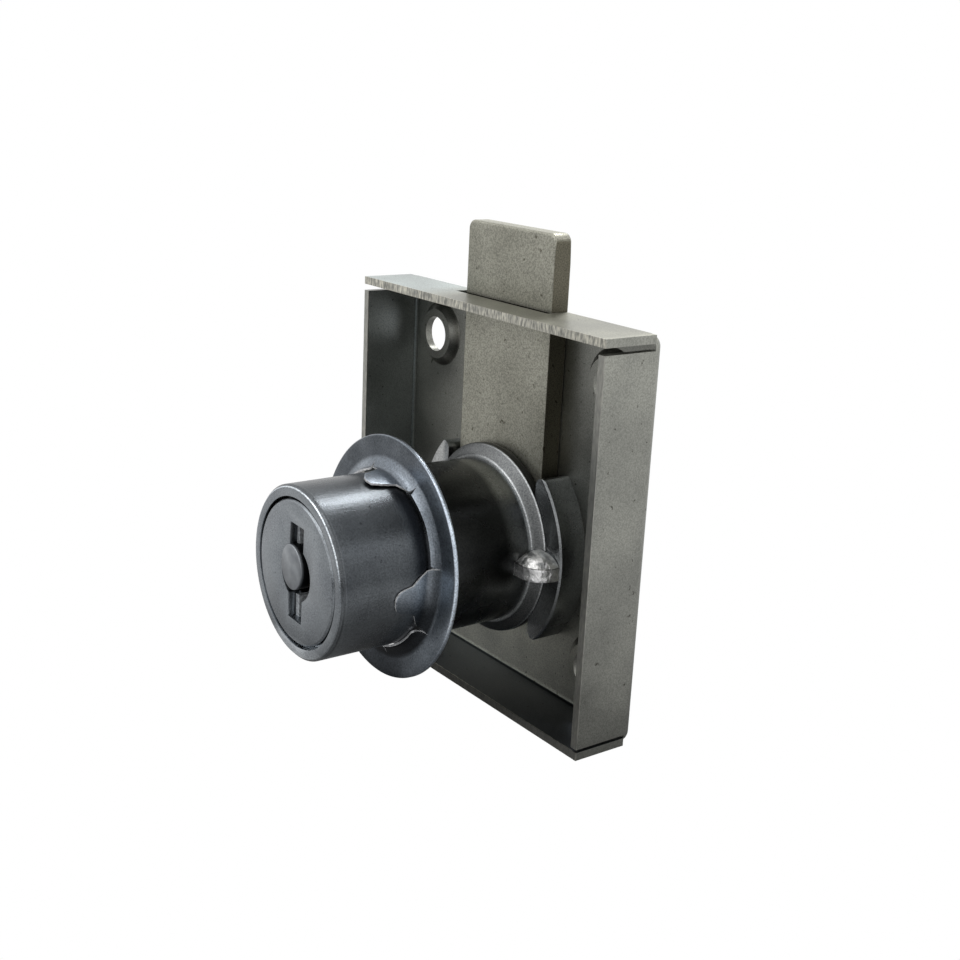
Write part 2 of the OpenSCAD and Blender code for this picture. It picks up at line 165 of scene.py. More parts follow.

# Case: one sheet of steel pressed into a tray, with a slot for the bolt and four screw holes in
# pressed cups. It was tumbled afterwards, so it is dull and finely pitted, and its sheared front
# edges are rough, with a painted highlight along the top flange; painted light and shade lie on its faces.
case_edge, case_crease = 0.00011, math.radians(35)
hole_x, hole_z, holes_middle = 0.01585, 0.0161, 0.00485


def new_metal(name, metallic=1, roughness=0.5):
    """Make a metal's material. Returns it with its node tree and its shader."""
    mat = bpy.data.materials.new(name)
    mat.use_nodes = True
    shader = mat.node_tree.nodes["Principled BSDF"]
    shader.inputs["Metallic"].default_value, shader.inputs["Roughness"].default_value = metallic, roughness
    return mat, mat.node_tree, shader


def noise(tree, place, scale, detail=2):
    """Return a cloudy pattern of soft spots."""
    node = tree.nodes.new("ShaderNodeTexNoise")
    node.inputs["Scale"].default_value, node.inputs["Detail"].default_value = scale, detail
    feed(tree, node.inputs["Vector"], place)
    return node.outputs[0]


def ramp(tree, source, low, high):
    """Colour a value between two stops, each a position and a colour."""
    node = tree.nodes.new("ShaderNodeValToRGB")
    for stop, (position, color) in zip(node.color_ramp.elements, (low, high)):
        stop.position, stop.color = position, (*color, 1)
    feed(tree, node.inputs[0], source)
    return node.outputs[0]


def lay_over(tree, kind, mask, color, other):
    """Lay one colour over another where the mask is 1."""
    node = tree.nodes.new("ShaderNodeMix")
    node.data_type, node.blend_type = "RGBA", kind
    for index, value in ((0, mask), (6, color), (7, other)):
        feed(tree, node.inputs[index], value)
    return node.outputs[2]


def overlap(tree, *masks):
    """Multiply masks, each a value and the limits it fades between."""
    total = 1
    for source, limits in masks:
        total = combine(tree, "MULTIPLY", total, fade(tree, source, limits))
    return total


def tint(tree, color, shade, *masks):
    """Multiply a colour by a shade where all the masks overlap."""
    return lay_over(tree, "MULTIPLY", overlap(tree, *masks), color, (*shade, 1))


def tumbled(tree, place, sizes, tone, pits, grains):
    """Lay dark pits and a fine grain over a cloudy tone. Returns the colour and its patterns."""
    cloud, grain, fleck = (noise(tree, place, *size) for size in sizes)
    pitted = ramp(tree, fleck, *pits)
    color = lay_over(tree, "MULTIPLY", 1, ramp(tree, cloud, *tone), pitted)
    color = lay_over(tree, "MULTIPLY", 1, color, ramp(tree, grain, *grains))
    return color, {"cloud": cloud, "grain": grain, "fleck": fleck, "pits": pitted}


def axes(tree, vector):
    """Split a vector into its x, y and z."""
    node = tree.nodes.new("ShaderNodeSeparateXYZ")
    feed(tree, node.inputs[0], vector)
    return node.outputs


def roughen(tree, shader, height, strength, depth):
    """Give a surface a fine relief from a pattern."""
    node = tree.nodes.new("ShaderNodeBump")
    node.inputs["Strength"].default_value, node.inputs["Distance"].default_value = strength, depth
    feed(tree, node.inputs["Height"], height)
    feed(tree, shader.inputs["Normal"], node.outputs[0])


def clean_copy(node):
    """Open a copy of a CAD node's mesh, with its loose triangles merged into plain faces."""
    bm = bmesh.new()
    bm.from_mesh(nodes[node].data)
    bmesh.ops.remove_doubles(bm, verts=bm.verts, dist=1e-7)
    bmesh.ops.dissolve_limit(bm, angle_limit=0.01, verts=bm.verts, edges=bm.edges)
    return bm


def close_mesh(bm, name):
    """Write an open mesh to a new mesh of that name."""
    mesh = bpy.data.meshes.new(name)
    bm.to_mesh(mesh)
    bm.free()
    return mesh


def finished(rough_cut):
    """Return the plain mesh that an object's modifiers make, and remove the object."""
    bpy.context.view_layer.update()
    made = bpy.data.meshes.new_from_object(rough_cut.evaluated_get(bpy.context.evaluated_depsgraph_get()))
    bpy.data.objects.remove(rough_cut)
    return made


def smooth(mesh, angle):
    """Shade a mesh smooth, but for edges sharper than the angle in degrees."""
    mesh.shade_smooth()
    mesh.set_sharp_from_angle(angle=math.radians(angle))


def even_faces(rough_cut):
    """Keep the flat faces beside narrow bevels flat in shading."""
    even = rough_cut.modifiers.new("even", "WEIGHTED_NORMAL")
    even.keep_sharp, even.weight = True, 80


pressed, tree, shader = new_metal("pressed_steel")
place = coordinates(tree)
color, patterns = tumbled(tree, place, ((110, 8), (6500, 2), (1500, 5)),
                          ((0.32, (0.205, 0.208, 0.19)), (0.68, (0.295, 0.298, 0.27))),
                          ((0.27, (0.35, 0.34, 0.32)), (0.33, (1, 1, 1))),
                          ((0.3, (0.8, 0.8, 0.8)), (0.66, (1.2, 1.2, 1.2))))
x, y, z = axes(tree, place)
face_x, face_y, face_z = axes(tree, coordinates(tree, "Normal"))
upward, rightward = (face_z, (0.4, 0.8, 0, 1)), (face_x, (0.4, 0.8, 0, 1))
forward, plate_low = (face_y, (-0.6, -0.9, 0, 1)), (z, (-0.002, -0.011, 0, 1))
at_top, at_foot = (z, (0.0263, 0.0268, 0, 1)), (z, (-0.0165, -0.0168, 0, 1))
foot_inside, left_inside = (z, (-0.0163, -0.0165, 0, 1)), (x, (-0.0208, -0.0212, 0, 1))
right_outside, right_upper = (x, (0.0212, 0.0218, 0, 1)), (z, (0.004, 0.022, 0, 1))
top_left = (x, (-0.006, -0.012, 0, 1))
# Painted light and shade: the upper side of the bottom flange is darkened, and the inside of the left
# flange, the lower part of the plate, the upper outside of the right flange and the top flange are
# lightened, as light falls on them. The front faces of the bottom flange are darker.
for shade, *masks in (((0.22, 0.25, 0.32), upward, foot_inside),
                      ((1.1, 1.17, 1.28), rightward, left_inside),
                      ((2.25, 2.22, 2.15), forward, plate_low),
                      ((1.22, 1.22, 1.21), right_outside, right_upper),
                      ((1.2, 1.18, 1.12), upward, at_top), ((1.45, 1.6, 1.8), top_left, at_top),
                      ((0.45, 0.45, 0.45), forward, at_foot)):
    color = tint(tree, color, shade, *masks)
# Painted shade darkens the inner bends of the left and bottom flanges.
left_bend, foot_bend = (x, (-0.0201, -0.0203, 0, 1)), (z, (-0.0154, -0.0157, 0, 1))
bend_shade = (0.46, 0.48, 0.48)
for face, bend in ((face_x, left_bend), (face_z, foot_bend)):
    turned = combine(tree, "MULTIPLY", face, face_y)
    color = tint(tree, color, bend_shade, (turned, (-0.02, -0.25, 0, 1)), bend)
# A painted shadow: the strip of the top flange in front of the bolt is black, without even a sheen.
slot_left, slot_right = (x, (-0.00885, -0.0087, 0, 1)), (x, (0.008, 0.00815, 1, 0))
slot_front, slot_back = (y, (0.0041, 0.0042, 0, 1)), (y, (0.0049, 0.005, 1, 0))
slot = overlap(tree, (face_z, (0, 1, 0, 1)), at_top, slot_left, slot_right, slot_front, slot_back)
color = lay_over(tree, "MULTIPLY", slot, color, (0, 0, 0, 1))
feed(tree, shader.inputs["Specular Tint"], lay_over(tree, "MIX", slot, (1, 1, 1, 1), (0, 0, 0, 1)))
# Painted shade darkens the pressed cups of the four screw holes below the plate's tone.
quarter = measure(tree, "ABSOLUTE", measure(tree, "MULTIPLY_ADD", place, (1, 0, 1), (0, 0, -holes_middle)))
from_hole = measure(tree, "DISTANCE", quarter, (hole_x, 0, hole_z))
cup_rim, cup_flat = (from_hole, (0.00375, 0.0040, 1, 0)), (from_hole, (0.0032, 0.0036, 0.25, 1))
color = tint(tree, color, (0.55, 0.54, 0.52), cup_rim, cup_flat)
# The sheared edges are torn in streaks, with a painted highlight along the top flange and dimmer below.
streak_stretch, ragged_by = (1, 0.25, 0.3), 0.0004
streak = noise(tree, measure(tree, "MULTIPLY", place, streak_stretch), 3400, 6)
torn = ramp(tree, streak, (0.38, (0.24, 0.24, 0.22)), (0.64, (0.68, 0.66, 0.57)))
bright = lay_over(tree, "MIX", fade(tree, z, (0.026, 0.0265, 0.22, 1)), (0.3, 0.3, 0.28, 1), torn)
ragged = combine(tree, "MULTIPLY_ADD", patterns["fleck"], ragged_by, y)
color = lay_over(tree, "MIX", fade(tree, ragged, (0.00024, 0.00034, 1, 0)), color, bright)
# The bottom flange is darker, up to its right end.
right_end = (x, (0.02205, 0.02215, 1, 0))
color = tint(tree, color, (0.75, 0.75, 0.75), at_foot, right_end)
feed(tree, shader.inputs["Base Color"], color)
feed(tree, shader.inputs["Roughness"], fade(tree, patterns["cloud"], (0.3, 0.7, 0.34, 0.48)))
roughen(tree, shader, combine(tree, "ADD", patterns["grain"], patterns["pits"]), 0.5, 0.00002)
bm = clean_copy("case")
weight = bm.edges.layers.float.new("bevel_weight_edge")
for seam in bm.edges:
    if seam.is_manifold and seam.calc_face_angle_signed() > case_crease:
        seam[weight] = 1
mesh = close_mesh(bm, "case_sheet")
smooth(mesh, 28)
rough_cut = show("case_cut", mesh)
bevel = rough_cut.modifiers.new("edges", "BEVEL")
bevel.width, bevel.segments, bevel.limit_method = case_edge, 2, "WEIGHT"
even_faces(rough_cut)
made = finished(rough_cut)
made.materials.clear()
made.materials.append(pressed)
case_sheet = show("case_sheet", made)
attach(case_sheet, "lock_case")
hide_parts("case")

# Bolt: a flat bar of steel that slides up out of the case. Its edges were rounded by tumbling,
# and it is lighter and warmer than the case, with a darker line just above the slot, a painted
# highlight at its top end and painted shade on its right side.
bolt_edge, bolt_crease = 0.00028, math.radians(35)
mat, tree, shader = new_metal("bolt_steel", 1, 0.46)
place = coordinates(tree)
color, patterns = tumbled(tree, place, ((150, 9), (6500, 2), (1500, 6)),
                          ((0.32, (0.265, 0.262, 0.225)), (0.68, (0.36, 0.355, 0.31))),
                          ((0.28, (0.4, 0.38, 0.35)), (0.34, (1, 1, 1))),
                          ((0.34, (0.74, 0.74, 0.74)), (0.62, (1.26, 1.26, 1.25))))
# Painted shade darkens the bolt's right side.
shaded_right_side = (axes(tree, coordinates(tree, "Normal"))[0], (0.85, 0.99, 0, 1))
color = tint(tree, color, (0.4, 0.38, 0.34), shaded_right_side)
# Up its front the bolt is darker in a line just above the slot and has a painted highlight at its top end.
band = tree.nodes.new("ShaderNodeValToRGB")
for position, brightness in ((0, 1), (0.11, 0.78), (0.32, 1), (0.89, 1), (0.97, 1.12)):
    stop = band.color_ramp.elements.new(position)
    stop.color = (brightness, brightness, brightness * 0.98, 1)
band.color_ramp.elements.remove(band.color_ramp.elements[0])
band.color_ramp.elements.remove(band.color_ramp.elements[-1])
feed(tree, band.inputs[0], fade(tree, axes(tree, place)[2], (0.0264, 0.0357, 0, 1)))
feed(tree, shader.inputs["Base Color"], lay_over(tree, "MULTIPLY", 1, color, band.outputs[0]))
roughen(tree, shader, patterns["grain"], 0.6, 0.00002)
mesh = close_mesh(clean_copy("bolt"), "bolt_bar")
mesh.shade_smooth()
rough_cut = show("bolt_cut", mesh)
bevel = rough_cut.modifiers.new("edges", "BEVEL")
bevel.width, bevel.segments, bevel.angle_limit = bolt_edge, 3, bolt_crease
even_faces(rough_cut)
made = finished(rough_cut)
made.materials.clear()
made.materials.append(mat)
bolt_bar = show("bolt_bar", made)
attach(bolt_bar, "bolt")
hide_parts("bolt")

# Cylinder housing and plug: two zinc castings with a fine grain. They were tumbled and plated; their
# edges carry painted highlights and their sides painted shade. The housing is riveted to the plate by
# its ears, and the plug turns in its bore.
casting_crease, slice_front, slice_back, slice_step = math.radians(40), -0.0205, 0.003, 0.001
face_r, face_back, face_shrink, face_shift = 0.0075, -0.0195, 0.985, 0.00008


def from_axis(tree, place):
    """Return how far a place is from the barrel's axis."""
    return measure(tree, "LENGTH", measure(tree, "MULTIPLY", place, (1, 0, 1)))


def scaled(tree, color, amount):
    """Make a colour lighter or darker."""
    node = tree.nodes.new("ShaderNodeVectorMath")
    node.operation = "SCALE"
    feed(tree, node.inputs[0], color)
    feed(tree, node.inputs["Scale"], amount)
    return node.outputs[0]


cast, tree, shader = new_metal("cast_housing")
place = coordinates(tree)
color, patterns = tumbled(tree, place, ((170, 9), (5500, 3), (1700, 5)),
                          ((0.3, (0.2, 0.217, 0.237)), (0.7, (0.32, 0.345, 0.365))),
                          ((0.26, (0.4, 0.4, 0.41)), (0.32, (1, 1, 1))),
                          ((0.3, (0.75, 0.75, 0.75)), (0.66, (1.2, 1.2, 1.2))))
x, y, z = axes(tree, place)
radius = from_axis(tree, place)
behind_ring, before_foot = (y, (-0.0098, -0.0094, 0, 1)), (y, (0.002, 0.004, 1, 0.75))
collar_shadow_front, collar_shadow_back = (y, (-0.0125, -0.0116, 0, 1)), (y, (-0.0107, -0.0098, 1, 0))
ear_low, ear_front = (z, (-0.0072, -0.0098, 0, 1)), (y, (0.0038, 0.0041, 1, 0))
ear_left, foot_back = (x, (-0.009, -0.0096, 0, 1)), (y, (0.0022, 0.003, 0, 1))
off_face, off_ears = (y, (-0.0212, -0.0206, 0, 1)), (y, (-0.0005, 0.0005, 1, 0))
upper_side = (z, (-0.0045, 0.0015, 0, 1))
# Behind the trim ring the barrel is darker and warmer. A painted shadow lies under the ring's collar,
# painted light on the lower ends of the ears and on the left ear behind the foot, and painted shade on the
# barrel's upper side between its face and its ears.
for shade, *masks in (((0.76, 0.73, 0.68), behind_ring, before_foot),
                      ((0.32, 0.32, 0.34), collar_shadow_front, collar_shadow_back),
                      ((4.2, 4.1, 4.0), ear_low, ear_front),
                      ((1.9, 1.85, 1.8), ear_left, foot_back),
                      ((0.28, 0.285, 0.29), upper_side, off_face, off_ears)):
    color = tint(tree, color, shade, *masks)
# The barrel's front edge has a painted highlight above, with painted shade just outside its face. The
# root of the right lug is dark, and a painted shadow makes the crescent behind the foot nearly black.
edge_in, edge_out = (radius, (0.00914, 0.00917, 0, 1)), (radius, (0.00927, 0.0093, 1, 0))
edge_front, edge_upper = (y, (-0.0208, -0.0207, 1, 0)), (z, (0, 0.004, 0, 1))
edge_grain = (patterns["grain"], (0.3, 0.6, 0.5, 2.0))
edge_highlight = overlap(tree, edge_in, edge_out, edge_front, edge_upper, edge_grain)
edge_shade = overlap(tree, (radius, (0.00928, 0.00932, 0, 0.5)), (y, (-0.02085, -0.0207, 1, 0)))
amount = combine(tree, "ADD", edge_highlight, combine(tree, "SUBTRACT", 1, edge_shade))
past_foot, behind_foot = (radius, (0.0107, 0.0108, 0, 1)), (y, (0.0036, 0.00366, 0, 1))
between_ears = (x, (-0.008, -0.0078, 0, 1)), (x, (0.0078, 0.008, 1, 0))
over_axis = (z, (0.003, 0.004, 0, 1))
crescent_shadow = overlap(tree, past_foot, behind_foot, *between_ears, over_axis)
lug_root = (0.0088, -0.0006, 0.0002)
from_root = measure(tree, "DISTANCE", place, lug_root)
for source, limits in ((from_root, (0.0014, 0.003, 0.2, 1)), (crescent_shadow, (0, 1, 1, 0.05))):
    amount = combine(tree, "MULTIPLY", amount, fade(tree, source, limits))
feed(tree, shader.inputs["Base Color"], scaled(tree, color, amount))
feed(tree, shader.inputs["Roughness"], fade(tree, patterns["cloud"], (0.3, 0.7, 0.22, 0.34)))
roughen(tree, shader, patterns["grain"], 0.6, 0.00003)
for node, piece_name, body, edge in (("cylinder_housing", "barrel_casting", "lock_case", 0.0001),
                                     ("plug", "plug_casting", "key_plug", 0.00003)):
    bm = clean_copy(node)
    if node == "plug":
        # The plug's face is a little smaller than its bore and sits to the left in it.
        for vert in bm.verts:
            if math.hypot(vert.co.x, vert.co.z) > face_r and vert.co.y < face_back:
                vert.co.x, vert.co.z = vert.co.x * face_shrink - face_shift, vert.co.z * face_shrink
    for slice_y in np.arange(slice_front, slice_back, slice_step):
        bmesh.ops.bisect_plane(bm, geom=bm.verts[:] + bm.edges[:] + bm.faces[:], plane_co=(0, slice_y, 0),
                               plane_no=(0, 1, 0))
    rough_cut = show("casting_cut", close_mesh(bm, piece_name))
    bevel = rough_cut.modifiers.new("edges", "BEVEL")
    bevel.width, bevel.segments, bevel.angle_limit = edge, 2, casting_crease
    made = finished(rough_cut)
    made.materials.clear()
    made.materials.append(cast)
    smooth(made, 28)
    piece = show(piece_name, made)
    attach(piece, body)
    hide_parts(node)

# Lugs: the housing's two rounded teeth beside its ears, cast in one with it. Their domed tops
# are hammered bright, where they bit into the wood.
center_x, center_y, round_r, shoulder, rise, skin = 10.7, 3.1, 2.6, 0.42, 1.33, 0.03
root_x, front_y, back_y, wall_grow, wall_foot = 9.3, 0.5, 3.68, 1.012, -1.05
outline = [(root_x, back_y), (root_x, front_y), (9.75, front_y), (10.2, front_y)]
for k in range(25):
    turn = math.radians(-90 + 3.75 * k)
    outline.append((center_x + round_r * math.cos(turn), center_y + round_r * math.sin(turn)))
outline.append((center_x + round_r, back_y))


def skin_loops(bm, rings):
    """Join rings of points with faces and close both ends."""
    for lower, upper in zip(rings, rings[1:]):
        for j in range(len(lower)):
            k = (j + 1) % len(lower)
            bm.faces.new((lower[j], lower[k], upper[k], upper[j]))
    bm.faces.new(rings[0])
    bm.faces.new(rings[-1])


def face_out(bm):
    """Turn all faces outwards."""
    bmesh.ops.recalc_face_normals(bm, faces=bm.faces)


bm = bmesh.new()
for way in (1, -1):
    loops = []
    for part, low in ((1.004, wall_foot), (wall_grow, -1.0), (wall_grow, -0.5), (wall_grow, 0)):
        loops.append([((x - center_x) * part + center_x, (y - center_y) * part + center_y, low)
                      for x, y in outline])
    for part in (wall_grow, 0.97, 0.9, 0.8, 0.68, 0.54, 0.4, 0.25, 0.1):
        loop = []
        for x, y in outline:
            dx, dy = (x - center_x) * part, (y - center_y) * part
            full = min(math.hypot(dx, dy) / round_r, 1)
            loop.append((center_x + dx, center_y + dy, shoulder + skin + rise * (1 - full ** 2.5) ** 0.85))
        loops.append(loop)
    skin_loops(bm, [[bm.verts.new((way * x / 1000, y / 1000, z / 1000)) for x, y, z in loop]
                    for loop in loops])
face_out(bm)
made = close_mesh(bm, "turn_lugs")
mat, tree, shader = new_metal("lug_cast", 1, 0.4)
place = coordinates(tree)
dent = noise(tree, place, 1000, 4)
tone = ramp(tree, dent, (0.36, (0.34, 0.35, 0.35)), (0.54, (0.95, 0.95, 0.93)))
height = axes(tree, place)[2]
# Painted light lightens the lugs' side walls, the domes above are a little darker, and painted shade
# darkens the crease between them.
crease_z, crease_half = 0.00043, 0.00007
wall_light = fade(tree, height, (0.00036, 0.0005, 1.35, 0.85))
light_and_crease_shade = fade(tree, combine(tree, "COMPARE", height, crease_z, crease_half), (0, 1, wall_light, 0.4))
feed(tree, shader.inputs["Base Color"], scaled(tree, tone, light_and_crease_shade))
roughen(tree, shader, dent, 1, 0.0003)
made.materials.append(mat)
smooth(made, 24)
turn_lugs = show("turn_lugs", made)
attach(turn_lugs, "lock_case")

# Foot ring: the housing's cone at the foot of the barrel, cast in one with it. Its crisp front edge and
# its rim have painted highlights, its right side painted light, and its back a painted shadow, near black.
profile = ((9.4, 2.58), (9.62, 2.58), (9.72, 2.6), (9.8, 2.66), (9.86, 2.74), (10.2, 2.96), (10.6, 3.24),
           (10.9, 3.45), (11.0, 3.54), (11.04, 3.62), (11.04, 3.7), (11.04, 4.2), (9.4, 4.2))
turns = np.radians(np.arange(0, 360, 3))
verts = [(r * math.cos(t) / 1000, y / 1000, r * math.sin(t) / 1000) for r, y in profile for t in turns]
faces = []
for i in range(len(profile)):
    for j in range(len(turns)):
        a, b = i * len(turns), (i + 1) % len(profile) * len(turns)
        k = (j + 1) % len(turns)
        faces.append((a + j, a + k, b + k, b + j))


def outward_mesh(name, verts, faces):
    """Make a mesh from points and faces, with all its faces turned outwards."""
    mesh = bpy.data.meshes.new(name)
    mesh.from_pydata(verts, [], faces)
    bm = bmesh.new()
    bm.from_mesh(mesh)
    face_out(bm)
    bm.to_mesh(mesh)
    bm.free()
    return mesh


made = outward_mesh("foot_ring", verts, faces)
mat, tree, shader = new_metal("foot_cast", 1, 0.42)
place = coordinates(tree)
right, depth, _ = axes(tree, place)
radius = from_axis(tree, place)
tone = ramp(tree, noise(tree, place, 6500), (0.35, (0.19, 0.2, 0.205)), (0.65, (0.36, 0.37, 0.37)))
brightness = combine(tree, "MAXIMUM", fade(tree, radius, (0.00976, 0.00988, 2.4, 0.62)),
               fade(tree, radius, (0.01088, 0.01098, 0.62, 2.0)))
brightness = combine(tree, "MINIMUM", brightness, fade(tree, right, (-0.002, 0.004, 0.6, 2.2)))
brightness = combine(tree, "MULTIPLY", brightness, fade(tree, depth, (0.00358, 0.00366, 1, 0.05)))
feed(tree, shader.inputs["Base Color"], scaled(tree, tone, brightness))
roughen(tree, shader, noise(tree, place, 400), 0.6, 0.00003)
made.materials.append(mat)
smooth(made, 60)
foot_ring = show("foot_ring", made)
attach(foot_ring, "lock_case")

# Key pin: a steel post in the middle of the keyhole, over which a hollow key slides. Its end is
# nearly level with the plug's face and worn to a narrow oval.
pin_sides, pin_x, pin_z, pin_half_w, pin_half_h = 64, -0.88, 0.42, 2.16, 2.52
bm = bmesh.new()
loops = []
for y, inset in ((-21.42, 0.1), (-21.38, 0.03), (-21.32, 0), (-19.2, 0), (-18.6, 0)):
    line = []
    for k in range(pin_sides):
        turn = math.radians(360 * k / pin_sides)
        line.append((pin_x + (pin_half_w - inset) * math.cos(turn),
                     pin_z + (pin_half_h - inset) * math.sin(turn)))
    loops.append([bm.verts.new((x / 1000, y / 1000, z / 1000)) for x, z in line])
skin_loops(bm, loops)
face_out(bm)
made = close_mesh(bm, "pin_post")
mat, tree, shader = new_metal("pin_steel", 1, 0.36)
place = coordinates(tree)
tone = ramp(tree, noise(tree, place, 900), (0.3, (0.235, 0.25, 0.268)), (0.7, (0.34, 0.36, 0.38)))
# Painted shade darkens the post towards the back of the keyhole.
recess_shade = fade(tree, axes(tree, place)[1], (-0.0213, -0.021, 1, 0.08))
feed(tree, shader.inputs["Base Color"], scaled(tree, tone, recess_shade))
roughen(tree, shader, noise(tree, place, 5500), 0.5, 0.00002)
made.materials.append(mat)
smooth(made, 50)
pin_post = show("pin_post", made)
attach(pin_post, "key_plug")
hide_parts("key_pin")

# Keyway ledges: two steps cast in the plug. A little way in, they narrow the slot on its left to
# the key's own section.
ledge_x, ledge_y, ledge_w, ledge_l = -0.00109, -0.01945, 0.74, 2.0
bm = bmesh.new()
for low, high in ((-5.36, -2.9), (2.9, 5.36)):
    middle = Matrix.Translation((ledge_x, ledge_y, (low + high) / 2000))
    widths = Matrix.Diagonal((ledge_w, ledge_l, high - low, 1))
    bmesh.ops.create_cube(bm, size=0.001, matrix=middle @ widths)
made = close_mesh(bm, "keyway_ledges")


def grained(name, metallic, roughness, scale, detail, low, high):
    """Make a plain metal with one pattern. Returns it, its tree, its shader and the pattern."""
    mat, tree, shader = new_metal(name, metallic, roughness)
    pattern = noise(tree, coordinates(tree), scale, detail)
    feed(tree, shader.inputs["Base Color"], ramp(tree, pattern, low, high))
    return mat, tree, shader, pattern


# The ledges get a lighter finish than the plug's, a painted light, as they lie far in the slot.
mat = grained("ledge_cast_lit", 0.4, 0.45, 2500, 2, (0.35, (0.3, 0.32, 0.34)), (0.65, (0.6, 0.63, 0.65)))[0]
made.materials.append(mat)
ledges = show("keyway_ledges", made)
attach(ledges, "key_plug")

# Trim ring: a loose ring of thin plated sheet on the barrel. Its collar was drawn forward until it
# tore between four bent tongues, whose outline is given here as degrees and reach.
lean, plane, sheet, sheet_edge = math.radians(2.5), -10.3, 0.00025, 0.00006
dent_deg, dent_width, dent_depth = -104, 16, 0.3
edge_at = ((-123.5, -0.7), (-122, -0.1), (-120, -0.9), (-112, -1.4), (-107, -3.4), (-103, -4.2),
           (-97, -4.2), (-93, -3.6), (-90, -1.5), (-81, -0.9), (-79.5, -0.1), (-78, -0.95), (-60, -1.1),
           (-38, -1.05), (-32, -0.05), (-30.5, -1.0), (-25, -1.5), (-21, -1.8), (-19, -2.2),
           (-18, -2.7), (-17, -3.7), (-15, -4.25), (-12, -4.5), (-8, -4.6), (-5, -4.5), (-2.5, -4.15),
           (-1, -3.6), (0.5, -2.6), (3, -2.2), (5.5, -1.7), (7.5, -1.2), (9, -0.9), (10, -0.05),
           (11.5, -0.6), (35, -0.5), (58.5, -0.6), (60, -0.1), (61.5, -0.6), (66, -0.9), (70, -1.3),
           (72, -2.8), (74, -4.0), (78, -4.2), (82, -4.1), (88, -3.4), (92, -2.0), (97, -0.9),
           (104, -0.7), (106, -0.2), (107.5, -0.9), (118, -1.15), (135, -1.1), (150, -0.9), (155, -0.7),
           (157, -0.2), (158.5, -0.7), (163, -1.4), (166, -3.8), (170, -4.3), (174, -3.8), (178, -1.6),
           (184, -0.8), (186, -0.2), (187.5, -0.6), (236.5, -0.7))
lip = ((13.5, 0.45), (13.5, 0.3), (13.5, 0.16), (13.47, 0.07), (13.4, 0.02), (13.3, 0), (12.6, 0), (12, 0),
       (11.5, 0))
neck = np.array(((11.5, 0), (11.25, 0), (11.12, -0.02), (10.95, -0.07), (10.7, -0.16), (10.4, -0.29),
                 (10.15, -0.44), (9.97, -0.63), (9.88, -0.85), (9.85, -1.1), (9.85, -4.6)))
length = np.concatenate(([0], np.cumsum(np.hypot(*np.diff(neck, axis=0).T))))
turns = np.radians(np.arange(-123.5, 236.5, 0.5))
front = np.interp(np.degrees(turns), *np.array(edge_at).T)
reach = np.interp(-front, -neck[:, 1], length)
rows = [np.full((len(turns), 2), spot) for spot in lip]
for share in np.linspace(0.04, 1, 26):
    along = reach * share
    dent = dent_depth * share * np.exp(-((np.degrees(turns) - dent_deg) / dent_width) ** 2)
    radius = np.interp(along, length, neck[:, 0]) - dent
    rows.append(np.stack((radius, np.interp(along, length, neck[:, 1])), 1))
verts, faces = [], []
for row in rows:
    for (r, y), turn in zip(row, turns):
        z = r * math.sin(turn)
        verts.append((r * math.cos(turn) / 1000, (plane + y * math.cos(lean) + z * math.sin(lean)) / 1000,
                      (z * math.cos(lean) - y * math.sin(lean)) / 1000))
count = len(turns)
for i in range(len(rows) - 1):
    for j in range(count):
        a, b = i * count + j, i * count + (j + 1) % count
        faces.append((a, a + count, b + count, b))
mesh = outward_mesh("trim_sheet", verts, faces)
rough_cut = show("trim_cut", mesh)
mesh.materials.append(None)
mesh.materials.append(None)
solid = rough_cut.modifiers.new("sheet", "SOLIDIFY")
solid.thickness, solid.offset, solid.material_offset_rim = sheet, -1, 1
bevel = rough_cut.modifiers.new("edges", "BEVEL")
bevel.width, bevel.segments, bevel.angle_limit = sheet_edge, 2, math.radians(50)
made = finished(rough_cut)
mat, tree, shader = new_metal("trim_plating", 1, 0.3)
place = coordinates(tree)
color, patterns = tumbled(tree, place, ((240, 8), (5500, 3), (1500, 5)),
                          ((0.32, (0.092, 0.105, 0.12)), (0.68, (0.16, 0.178, 0.2))),
                          ((0.28, (0.35, 0.35, 0.36)), (0.34, (1, 1, 1))),
                          ((0.3, (0.7, 0.7, 0.7)), (0.66, (1.3, 1.3, 1.3))))
x, y, z = axes(tree, place)
radius = from_axis(tree, place)
# The rim has a painted highlight and the ring's right side painted light; the collar has painted
# light above and painted shade below, and painted light makes the tongues ahead of it the palest.
rim = fade(tree, radius, (0.01335, 0.01342, 1, 1.9))
collar = fade(tree, z, (-0.003, 0.003, 0.35, 1.7))
disc = fade(tree, x, (0.004, 0.009, 0.8, 2.4))
tongues = fade(tree, z, (-0.003, 0.003, 3.4, 1.8))
amount = combine(tree, "MULTIPLY", rim, fade(tree, radius, (0.0108, 0.0113, collar, disc)))
amount = combine(tree, "MULTIPLY", amount, fade(tree, y, (-0.0112, -0.0122, 1, tongues)))
feed(tree, shader.inputs["Base Color"], scaled(tree, color, amount))
roughen(tree, shader, patterns["grain"], 0.7, 0.00003)
made.materials[0] = mat
# The sheet's edges get a pale, less metallic finish, a painted highlight.
made.materials[1] = grained("sheet_edge_highlight", 0.45, 0.4, 3000, 2, (0.35, (0.4, 0.41, 0.42)),
                            (0.65, (0.85, 0.86, 0.87)))[0]
smooth(made, 40)
trim_sheet = show("trim_sheet", made)
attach(trim_sheet, "trim_ring")
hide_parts("trim_ring")

# Rivets: four steel rivets that hold the housing's ears to the case, with low domed heads behind
# the plate and their shanks up in the ears.
rivet_circle, rivet_angle, rivet_y, shank_back = 0.01165, math.radians(22), 0.0081, 0.0016


